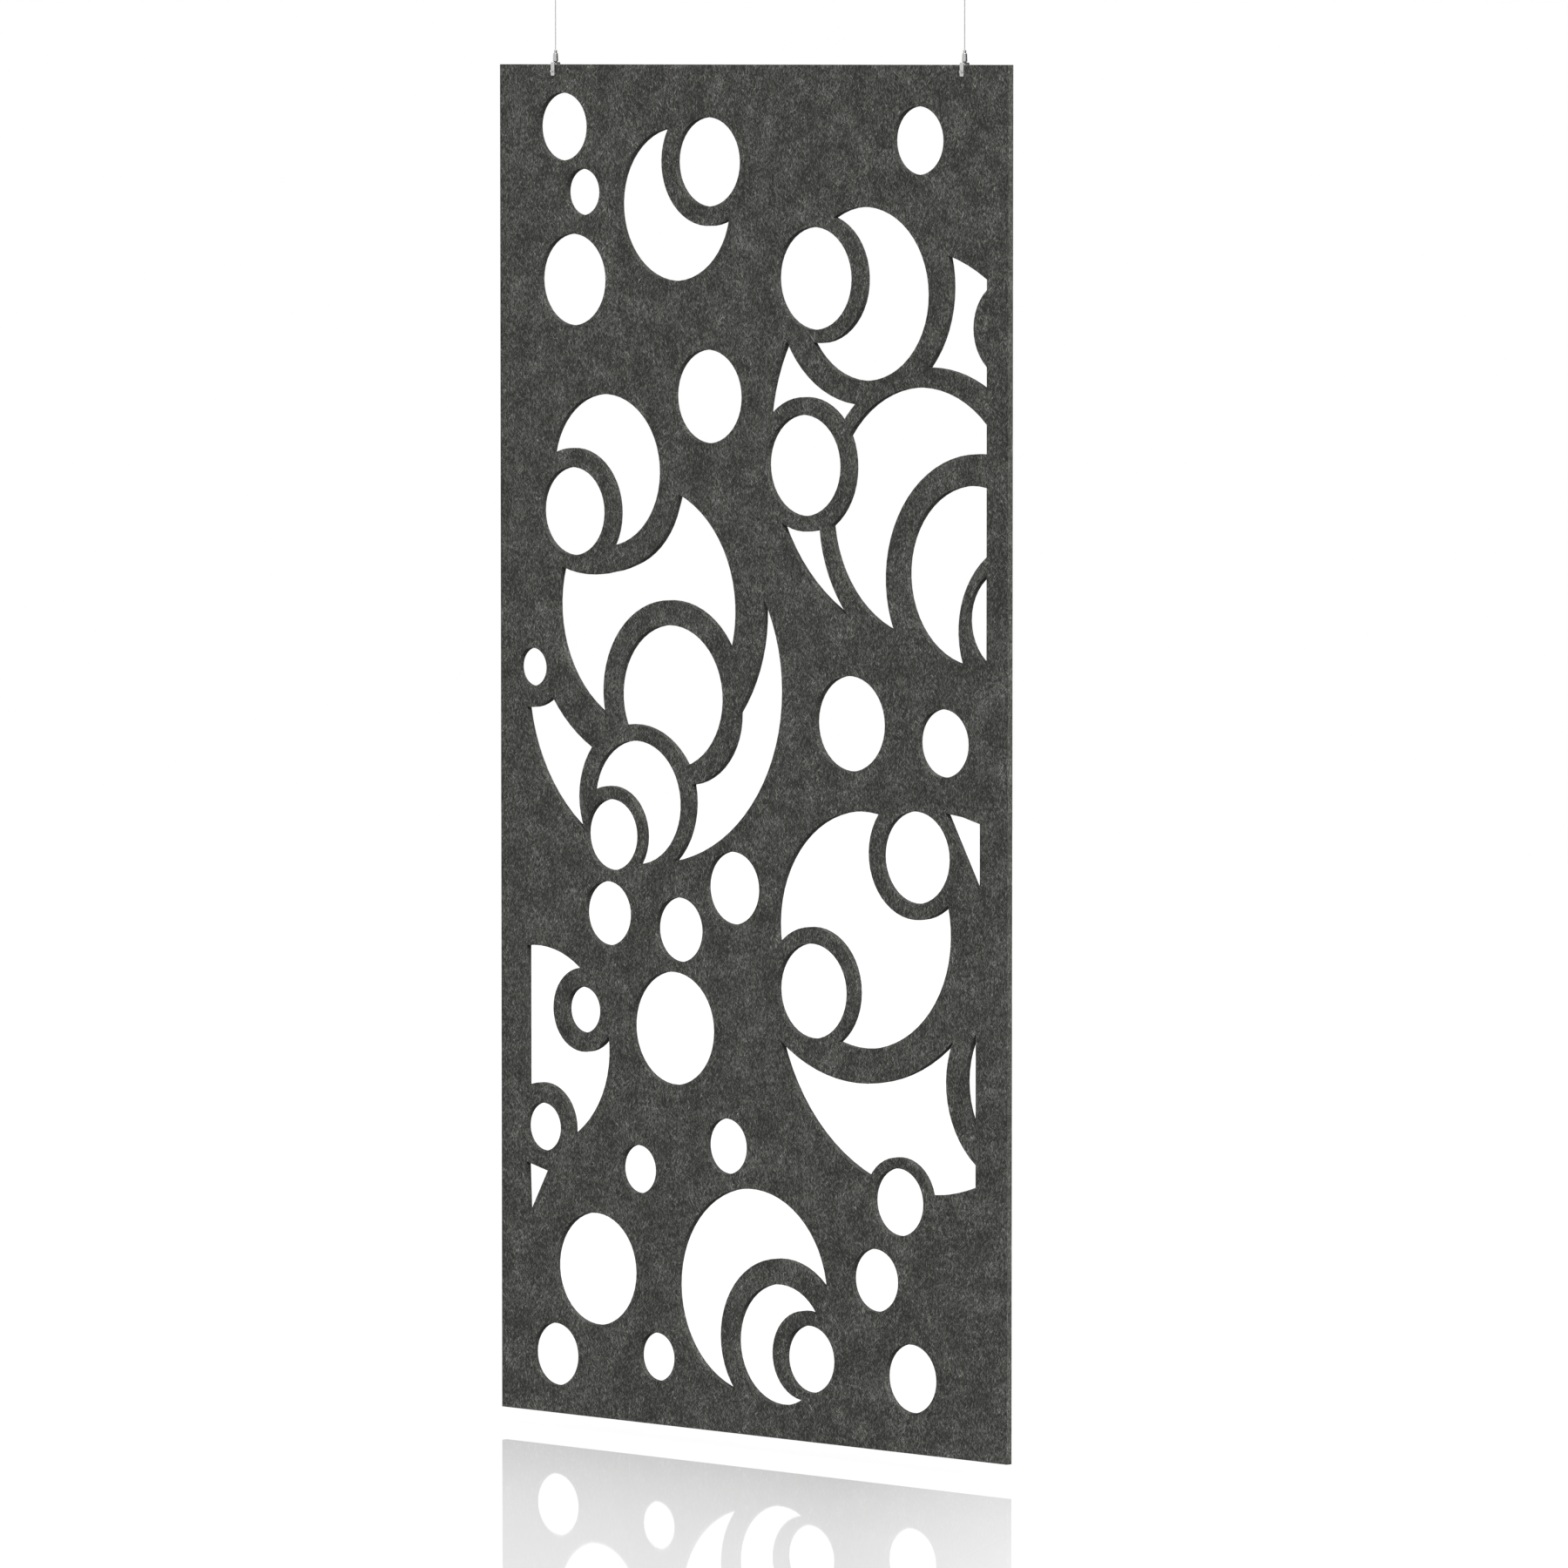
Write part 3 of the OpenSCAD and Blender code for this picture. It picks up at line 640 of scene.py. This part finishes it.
def feltBoard(name, spec, node):
    # The frame's triangles lie loose, so a copy is merged and its flat faces are joined again.
    shape = bmesh.new()
    shape.from_mesh(node.data)
    bmesh.ops.remove_doubles(shape, verts=shape.verts, dist=spec["weld"] * mm)
    bmesh.ops.dissolve_limit(shape, angle_limit=math.radians(spec["flat"]), verts=shape.verts,
                             edges=shape.edges)
    mesh = bpy.data.meshes.new(name)
    shape.to_mesh(mesh)
    shape.free()
    piece = bpy.data.objects.new(name, mesh)
    bpy.context.scene.collection.objects.link(piece)
    bevel = piece.modifiers.new("brokenEdge", "BEVEL")
    bevel.width = spec["edge"] * mm
    bevel.segments = spec["edgeSteps"]
    bevel.limit_method = "ANGLE"
    bevel.angle_limit = math.radians(spec["sharp"])
    return piece


sheet = feltBoard("feltBoard", board, frame["nodes"]["panel"])
standFor(dressedIn("needledFelt", sheet), "panel")
print("felt board made")


def linear(colour):
    # A hex sRGB colour as linear red, green, blue and alpha.
    parts = [int(colour[i:i + 2], 16) / 255 for i in (1, 3, 5)]
    return [p / 12.92 if p <= 0.04045 else ((p + 0.055) / 1.055)**2.4 for p in parts] + [1.0]


def addNode(tree, kind, inputs=None, **settings):
    # An input is a value, or another node's output that is linked to it.
    node = tree.nodes.new(kind)
    for name, value in settings.items():
        setattr(node, name, value)
    for name, value in (inputs or {}).items():
        if isinstance(value, bpy.types.NodeSocket):
            tree.links.new(value, node.inputs[name])
        else:
            node.inputs[name].default_value = value
    return node


def newMaterial(name):
    material = bpy.data.materials.new(name)
    material.use_nodes = True
    material.node_tree.nodes.clear()
    return material, material.node_tree


def finishMaterial(tree, shader):
    output = addNode(tree, "ShaderNodeOutputMaterial")
    tree.links.new(shader.outputs[0], output.inputs["Surface"])


# Needled polyester felt, heat-pressed into a board. Charcoal and pale fibres are blended, so it is
# a heather grey: dark ground, short pale streaks that run mostly up the board, soft clouds where
# more pale fibre lies, and no gloss.
felt = {
    "tones": [(0.1, "#2F2F2D"), (0.3, "#484845"), (0.5, "#60605D"), (0.72, "#7D7D7A"),
              (0.98, "#B2B2AF")],
    "fibreWidth": 1.9,    # a real fibre is 0.03 mm wide; bundles are drawn this wide to show
    "fibreLength": 9.0,
    "cloud": 55.0,
    "grain": 1.5,
    "wander": 30.0,       # length over which the fibres wander
    "bend": 9.0,          # how far they wander sideways
    "tilts": (-38, 2, 40),    # three layers of fibres lie at these angles from the upright
    "shifts": (0.0, 3.7, 8.1),
    "fibreShare": 1.9,
    "cloudShare": 0.33,
    "grainShare": 0.45,
    "darkest": 1.322,     # sums of the shares that give the ramp's two ends
    "palest": 1.879,
    "relief": 0.25,
    "paintedWallShade": 0.78,         # painted shade: how much of its tone is left to a wall inside the board, darkened as if shaded in its hole
    "rim": 1.5,           # the board's own right end within this distance keeps its full tone, without the painted shade
}


def needledFelt(spec, rightEnd):
    material, tree = newMaterial("needledFelt")
    place = addNode(tree, "ShaderNodeTexCoord").outputs["Object"]
    wander = addNode(tree, "ShaderNodeTexNoise",
                     {"Vector": place, "Scale": 1 / (spec["wander"] * mm), "Detail": 1.0})
    shifted = addNode(tree, "ShaderNodeVectorMath",
                      {0: wander.outputs["Color"], 1: (0.5, 0.5, 0.5)}, operation="SUBTRACT")
    moved = addNode(tree, "ShaderNodeVectorMath",
                    {0: shifted.outputs[0], 1: [spec["bend"] * mm] * 3, 2: place},
                    operation="MULTIPLY_ADD")
    across = 1 / (spec["fibreWidth"] * mm)
    along = 1 / (spec["fibreLength"] * mm)
    layers = []
    for tilt, shift in zip(spec["tilts"], spec["shifts"]):
        turned = addNode(tree, "ShaderNodeMapping",
                         {"Vector": moved.outputs[0], "Location": (shift, shift, 0),
                          "Rotation": (0, math.radians(tilt), 0)})
        stretched = addNode(tree, "ShaderNodeMapping",
                            {"Vector": turned.outputs[0], "Scale": (across, across, along)})
        layers.append(addNode(tree, "ShaderNodeTexNoise",
                              {"Vector": stretched.outputs[0], "Scale": 1.0, "Detail": 3.0,
                               "Roughness": 0.62}).outputs["Fac"])
    pair = addNode(tree, "ShaderNodeMath", {0: layers[0], 1: layers[1]}, operation="MAXIMUM")
    top = addNode(tree, "ShaderNodeMath", {0: pair.outputs[0], 1: layers[2]}, operation="MAXIMUM")
    fibres = addNode(tree, "ShaderNodeMath", {0: top.outputs[0], 1: spec["fibreShare"]},
                     operation="MULTIPLY")
    clouds = addNode(tree, "ShaderNodeTexNoise",
                     {"Vector": place, "Scale": 1 / (spec["cloud"] * mm), "Detail": 3.0,
                      "Roughness": 0.6})
    grain = addNode(tree, "ShaderNodeTexNoise",
                    {"Vector": place, "Scale": 1 / (spec["grain"] * mm), "Detail": 2.0})
    withClouds = addNode(tree, "ShaderNodeMath",
                         {0: clouds.outputs["Fac"], 1: spec["cloudShare"], 2: fibres.outputs[0]},
                         operation="MULTIPLY_ADD")
    mixed = addNode(tree, "ShaderNodeMath",
                    {0: grain.outputs["Fac"], 1: spec["grainShare"], 2: withClouds.outputs[0]},
                    operation="MULTIPLY_ADD")
    level = addNode(tree, "ShaderNodeMapRange",
                    {"Value": mixed.outputs[0], "From Min": spec["darkest"],
                     "From Max": spec["palest"]})
    ramp = addNode(tree, "ShaderNodeValToRGB", {"Fac": level.outputs[0]})
    stops = ramp.color_ramp.elements
    darkest, *between, palest = spec["tones"]
    stops[0].position, stops[0].color = darkest[0], linear(darkest[1])
    stops[1].position, stops[1].color = palest[0], linear(palest[1])
    for position, colour in between:
        stops.new(position).color = linear(colour)
    # Painted shade: a wall of a cut-out, a face that doesn't look along Y and isn't the board's right
    # end, is darkened as if its hole shaded it.
    facing = addNode(tree, "ShaderNodeSeparateXYZ",
                     {0: addNode(tree, "ShaderNodeNewGeometry").outputs["True Normal"]})
    outward = addNode(tree, "ShaderNodeMath", {0: facing.outputs["Y"]}, operation="ABSOLUTE")
    edge = addNode(tree, "ShaderNodeMath", {0: outward.outputs[0], 1: 0.5}, operation="LESS_THAN")
    within = addNode(tree, "ShaderNodeMath",
                     {0: addNode(tree, "ShaderNodeSeparateXYZ", {0: place}).outputs["X"],
                      1: (rightEnd - spec["rim"]) * mm}, operation="LESS_THAN")
    paintedWallShade = addNode(tree, "ShaderNodeMath", {0: edge.outputs[0], 1: within.outputs[0]},
                   operation="MULTIPLY")
    # Painted shade: the tone of such a wall is multiplied by the wall factor.
    shade = addNode(tree, "ShaderNodeMapRange", {"Value": paintedWallShade.outputs[0], "To Min": 1.0,
                                                 "To Max": spec["paintedWallShade"]})
    tone = addNode(tree, "ShaderNodeVectorMath", {0: ramp.outputs["Color"], 1: shade.outputs[0]},
                   operation="MULTIPLY")
    bump = addNode(tree, "ShaderNodeBump",
                   {"Strength": 0.6, "Distance": spec["relief"] * mm, "Height": mixed.outputs[0]})
    shader = addNode(tree, "ShaderNodeBsdfPrincipled",
                     {"Base Color": tone.outputs[0], "Roughness": 0.95,
                      "Specular IOR Level": 0.1, "Normal": bump.outputs[0]})
    finishMaterial(tree, shader)
    return material


# Turned brass, nickel plated and left satin: a pale grey with fine rings from the lathe.
turned = {"colour": "#C9C9C8", "worn": "#ACACAB", "roughness": 0.18, "wear": (-0.05, 0.08),
          "ring": 0.16, "blotch": 2.5, "depth": 0.006}


def turnedNickel(spec):
    material, tree = newMaterial("turnedNickel")
    profile = addNode(tree, "ShaderNodeSeparateXYZ",
                      {0: addNode(tree, "ShaderNodeUVMap", uv_map="surface").outputs[0]})
    rings = addNode(tree, "ShaderNodeTexNoise",
                    {"W": profile.outputs["Y"], "Scale": 1 / (spec["ring"] * mm), "Detail": 2.0},
                    noise_dimensions="1D")
    place = addNode(tree, "ShaderNodeTexCoord").outputs["Object"]
    wear = addNode(tree, "ShaderNodeTexNoise",
                   {"Vector": place, "Scale": 1 / (spec["blotch"] * mm), "Detail": 4.0})
    roughness = addNode(tree, "ShaderNodeMapRange",
                        {"Value": wear.outputs["Fac"], "To Min": spec["roughness"] + spec["wear"][0],
                         "To Max": spec["roughness"] + spec["wear"][1]})
    level = addNode(tree, "ShaderNodeMapRange",
                    {"Value": rings.outputs["Fac"], "From Min": 0.3, "From Max": 0.7})
    tone = addNode(tree, "ShaderNodeMix",
                   {0: level.outputs[0], 6: linear(spec["worn"]), 7: linear(spec["colour"])},
                   data_type="RGBA")
    bump = addNode(tree, "ShaderNodeBump",
                   {"Strength": 0.5, "Distance": spec["depth"] * mm, "Height": rings.outputs["Fac"]})
    shader = addNode(tree, "ShaderNodeBsdfPrincipled",
                     {"Base Color": tone.outputs[2], "Metallic": 1.0,
                      "Roughness": roughness.outputs[0], "Normal": bump.outputs[0]})
    finishMaterial(tree, shader)
    return material


# The other metals: strip that is brushed along its length and nickel plated, drawn steel wire
# laid into strands, a dark steel whose tone is painted shade, spring steel, and polished steel balls.
metals = {
    "brushedNickel": {"colour": "#D2D2D1", "worn": "#B5B5B4", "roughness": 0.2,
                      "streak": (0.12, 6.0, 6.0), "depth": 0.004},
    "strandedSteel": {"colour": "#ACACAB", "worn": "#808080", "roughness": 0.34,
                      "streak": (0.4, 0.4, 2.0), "depth": 0.004},
    # Painted shade: this dark tone stands in for the shadow in the gap between bridge and gripper.
    "shadePaintedSteel": {"colour": "#4B4A48", "worn": "#2E2D2C", "roughness": 0.42,
                       "streak": (1.0, 1.0, 0.15), "depth": 0.003},
    "springSteel": {"colour": "#A3A29F", "worn": "#7E7C78", "roughness": 0.3,
                    "streak": (0.3, 0.3, 0.3), "depth": 0.002},
    "polishedSteel": {"colour": "#D8D8D7", "worn": "#C4C4C2", "roughness": 0.1,
                      "streak": (1.5, 1.5, 1.5), "depth": 0.0},
}
streakWear = (-0.06, 0.08)       # what the streaks take from and add to the roughness


def streakedMetal(name, spec):
    # Noise drawn out along the way that the surface was worked sets its tone, gloss and relief.
    material, tree = newMaterial(name)
    place = addNode(tree, "ShaderNodeTexCoord").outputs["Object"]
    stretched = addNode(tree, "ShaderNodeMapping",
                        {"Vector": place, "Scale": [1 / (size * mm) for size in spec["streak"]]})
    streaks = addNode(tree, "ShaderNodeTexNoise",
                      {"Vector": stretched.outputs[0], "Scale": 1.0, "Detail": 3.0})
    level = addNode(tree, "ShaderNodeMapRange",
                    {"Value": streaks.outputs["Fac"], "From Min": 0.3, "From Max": 0.7})
    tone = addNode(tree, "ShaderNodeMix",
                   {0: level.outputs[0], 6: linear(spec["worn"]), 7: linear(spec["colour"])},
                   data_type="RGBA")
    roughness = addNode(tree, "ShaderNodeMapRange",
                        {"Value": streaks.outputs["Fac"],
                         "To Min": spec["roughness"] + streakWear[0],
                         "To Max": spec["roughness"] + streakWear[1]})
    bump = addNode(tree, "ShaderNodeBump",
                   {"Strength": 0.5, "Distance": spec["depth"] * mm,
                    "Height": streaks.outputs["Fac"]})
    shader = addNode(tree, "ShaderNodeBsdfPrincipled",
                     {"Base Color": tone.outputs[2], "Metallic": 1.0,
                      "Roughness": roughness.outputs[0], "Normal": bump.outputs[0]})
    finishMaterial(tree, shader)
    return material


# Moulded nylon: milky white, satin, a little see-through at its edges.
mouldedNylon = {"colour": "#E6E5DE", "shade": "#D8D6CC", "roughness": 0.42, "mottle": 0.8,
                "scatter": 0.8}


def nylon(spec):
    material, tree = newMaterial("mouldedNylon")
    place = addNode(tree, "ShaderNodeTexCoord").outputs["Object"]
    mottle = addNode(tree, "ShaderNodeTexNoise",
                     {"Vector": place, "Scale": 1 / (spec["mottle"] * mm), "Detail": 3.0})
    tone = addNode(tree, "ShaderNodeMix",
                   {0: mottle.outputs["Fac"], 6: linear(spec["shade"]), 7: linear(spec["colour"])},
                   data_type="RGBA")
    shader = addNode(tree, "ShaderNodeBsdfPrincipled",
                     {"Base Color": tone.outputs[2], "Roughness": spec["roughness"], "IOR": 1.53,
                      "Subsurface Weight": 0.2, "Subsurface Scale": spec["scatter"] * mm})
    finishMaterial(tree, shader)
    return material


materials = {name: streakedMetal(name, spec) for name, spec in metals.items()}
materials["turnedNickel"] = turnedNickel(turned)
materials["needledFelt"] = needledFelt(felt, nodeBox("panel")[1][0])
materials["mouldedNylon"] = nylon(mouldedNylon)
for name, dressed in pieces.items():
    for piece in dressed:
        piece.data.materials.clear()
        piece.data.materials.append(materials[name])
print("materials set")

# White studio: one wide soft light from the upper right, and a white surround in which mirrors
# alone see a painted dark reflection to the right. The floor is a white glossy sheet that
# reflects most near the board; it keeps a faint shadow.
studio = {
    "floor": -2580.0,
    "floorSize": 24000.0,
    "key": (0.66, -0.33, 0.68),    # direction of the light from the board
    "keyPower": 4.7,
    "keyAngle": 50.0,
    "worldLight": 0.72,
    "glow": 0.9,                   # what the floor gives off to the camera and to mirrors
    "albedo": 0.12,
    "mirrorFade": 3000.0,
    "mirror": [(0.0, 0.5), (175.0, 0.455), (415.0, 0.397), (700.0, 0.347), (950.0, 0.318),
               (1325.0, 0.295), (2300.0, 0.28), (3000.0, 0.0)],
    "mirrorAcross": (1.0, 0.942),  # towards the board's right end the mirror image gets fainter
    "fadeFrom": 200.0,
    "fadeTo": 560.0,
    "fadeShare": 0.72,
    "mirrorRoughness": 0.03,
    "darkFrom": -13.0,             # painted reflection: metal alone shows a dark screen between these directions, in degrees
    "darkTo": 77.0,                # from +X
    "darkTop": 0.12,               # sine of the screen's height above the horizon
    "darkSoft": 0.06,              # and what its edges take to fade
    "darkLevel": 0.02,
}


def seenRays(tree):
    # 1 for what the camera, a mirror or glass sees, 0 for what lights the object.
    rays = addNode(tree, "ShaderNodeLightPath").outputs
    seen = addNode(tree, "ShaderNodeMath",
                   {0: rays["Is Camera Ray"], 1: rays["Is Glossy Ray"]}, operation="MAXIMUM")
    return addNode(tree, "ShaderNodeMath",
                   {0: seen.outputs[0], 1: rays["Is Transmission Ray"]}, operation="MAXIMUM").outputs[0]


def whiteFloor(spec):
    material, tree = newMaterial("whiteGlossyFloor")
    place = addNode(tree, "ShaderNodeTexCoord").outputs["Object"]
    depth = addNode(tree, "ShaderNodeSeparateXYZ", {0: place}).outputs["Y"]
    away = addNode(tree, "ShaderNodeMath", {0: depth}, operation="ABSOLUTE")
    share = addNode(tree, "ShaderNodeMapRange",
                    {"Value": away.outputs[0], "From Max": spec["mirrorFade"] * mm})
    ramp = addNode(tree, "ShaderNodeValToRGB", {"Fac": share.outputs[0]})
    stops = ramp.color_ramp.elements
    first, *between, last = spec["mirror"]
    stops[0].color = [first[1]] * 3 + [1]
    stops[1].color = [last[1]] * 3 + [1]
    for distance, mirror in between:
        stops.new(distance / spec["mirrorFade"]).color = [mirror] * 3 + [1]
    across = addNode(tree, "ShaderNodeVectorMath", {0: place, 1: (*spec["mirrorAcross"], 0.0)},
                     operation="DOT_PRODUCT")
    fainter = addNode(tree, "ShaderNodeMapRange",
                      {"Value": across.outputs["Value"], "From Min": spec["fadeFrom"] * mm,
                       "From Max": spec["fadeTo"] * mm, "To Min": 1.0, "To Max": spec["fadeShare"]})
    seen = seenRays(tree)
    seenShare = addNode(tree, "ShaderNodeMath", {0: fainter.outputs[0], 1: seen},
                        operation="MULTIPLY")
    mirrorShare = addNode(tree, "ShaderNodeMath", {0: ramp.outputs["Color"], 1: seenShare.outputs[0]},
                          operation="MULTIPLY")
    glow = addNode(tree, "ShaderNodeMath", {0: seen, 1: spec["glow"]}, operation="MULTIPLY")
    white = addNode(tree, "ShaderNodeEmission", {"Color": (1, 1, 1, 1), "Strength": glow.outputs[0]})
    matte = addNode(tree, "ShaderNodeBsdfDiffuse", {"Color": [spec["albedo"]] * 3 + [1]})
    lit = addNode(tree, "ShaderNodeAddShader", {0: white.outputs[0], 1: matte.outputs[0]})
    mirror = addNode(tree, "ShaderNodeBsdfGlossy",
                     {"Color": (1, 1, 1, 1), "Roughness": spec["mirrorRoughness"]})
    finishMaterial(tree, addNode(tree, "ShaderNodeMixShader",
                                 {0: mirrorShare.outputs[0], 1: lit.outputs[0],
                                  2: mirror.outputs[0]}))
    return material


half = studio["floorSize"] / 2
corners = [(-half, -half), (half, -half), (half, half), (-half, half)]
floorPoints = [(px, py, studio["floor"]) for px, py in corners]
floor = makeMesh("floor", floorPoints, np.array([[0, 1, 2, 3]]))
floor.data.materials.append(whiteFloor(studio))

world = bpy.data.worlds.new("studio")
bpy.context.scene.world = world
world.use_nodes = True
tree = world.node_tree
tree.nodes.clear()
# Painted reflection: glossy rays alone see a dark screen to the right; the object is lit as by the rest
# of the surround and no shade falls from it.
direction = addNode(tree, "ShaderNodeSeparateXYZ",
                    {0: addNode(tree, "ShaderNodeTexCoord").outputs["Generated"]})
azimuth = addNode(tree, "ShaderNodeMath", {0: direction.outputs["Y"], 1: direction.outputs["X"]},
                  operation="ARCTAN2")
middle = math.radians((studio["darkFrom"] + studio["darkTo"]) / 2)
reach = math.radians((studio["darkTo"] - studio["darkFrom"]) / 2)
offMiddle = addNode(tree, "ShaderNodeMath", {0: azimuth.outputs[0], 1: middle}, operation="SUBTRACT")
aside = addNode(tree, "ShaderNodeMath", {0: offMiddle.outputs[0]}, operation="ABSOLUTE")
inside = addNode(tree, "ShaderNodeMapRange",
                 {"Value": aside.outputs[0], "From Min": reach + 2 * studio["darkSoft"],
                  "From Max": reach - 2 * studio["darkSoft"]})
below = addNode(tree, "ShaderNodeMapRange",
                {"Value": direction.outputs["Z"], "From Min": studio["darkTop"] + studio["darkSoft"],
                  "From Max": studio["darkTop"]})
glossy = addNode(tree, "ShaderNodeLightPath").outputs["Is Glossy Ray"]
paintedDarkScreen = addNode(tree, "ShaderNodeMath", {0: inside.outputs[0], 1: below.outputs[0]},
                 operation="MULTIPLY")
dark = addNode(tree, "ShaderNodeMath", {0: paintedDarkScreen.outputs[0], 1: glossy}, operation="MULTIPLY")
strength = addNode(tree, "ShaderNodeMapRange",
                   {"Value": seenRays(tree), "To Min": studio["worldLight"], "To Max": 1.0})
shown = addNode(tree, "ShaderNodeMapRange",
                {"Value": dark.outputs[0], "To Min": strength.outputs[0], "To Max": studio["darkLevel"]})
background = addNode(tree, "ShaderNodeBackground",
                     {"Color": (1, 1, 1, 1), "Strength": shown.outputs[0]})
worldOutput = addNode(tree, "ShaderNodeOutputWorld")
tree.links.new(background.outputs[0], worldOutput.inputs["Surface"])

keyData = bpy.data.lights.new("softKey", "SUN")
keyData.energy = studio["keyPower"]
keyData.angle = math.radians(studio["keyAngle"])
key = bpy.data.objects.new("softKey", keyData)
key.rotation_euler = Vector(studio["key"]).to_track_quat("Z", "Y").to_euler()
bpy.context.scene.collection.objects.link(key)
print("floor and lamps set")
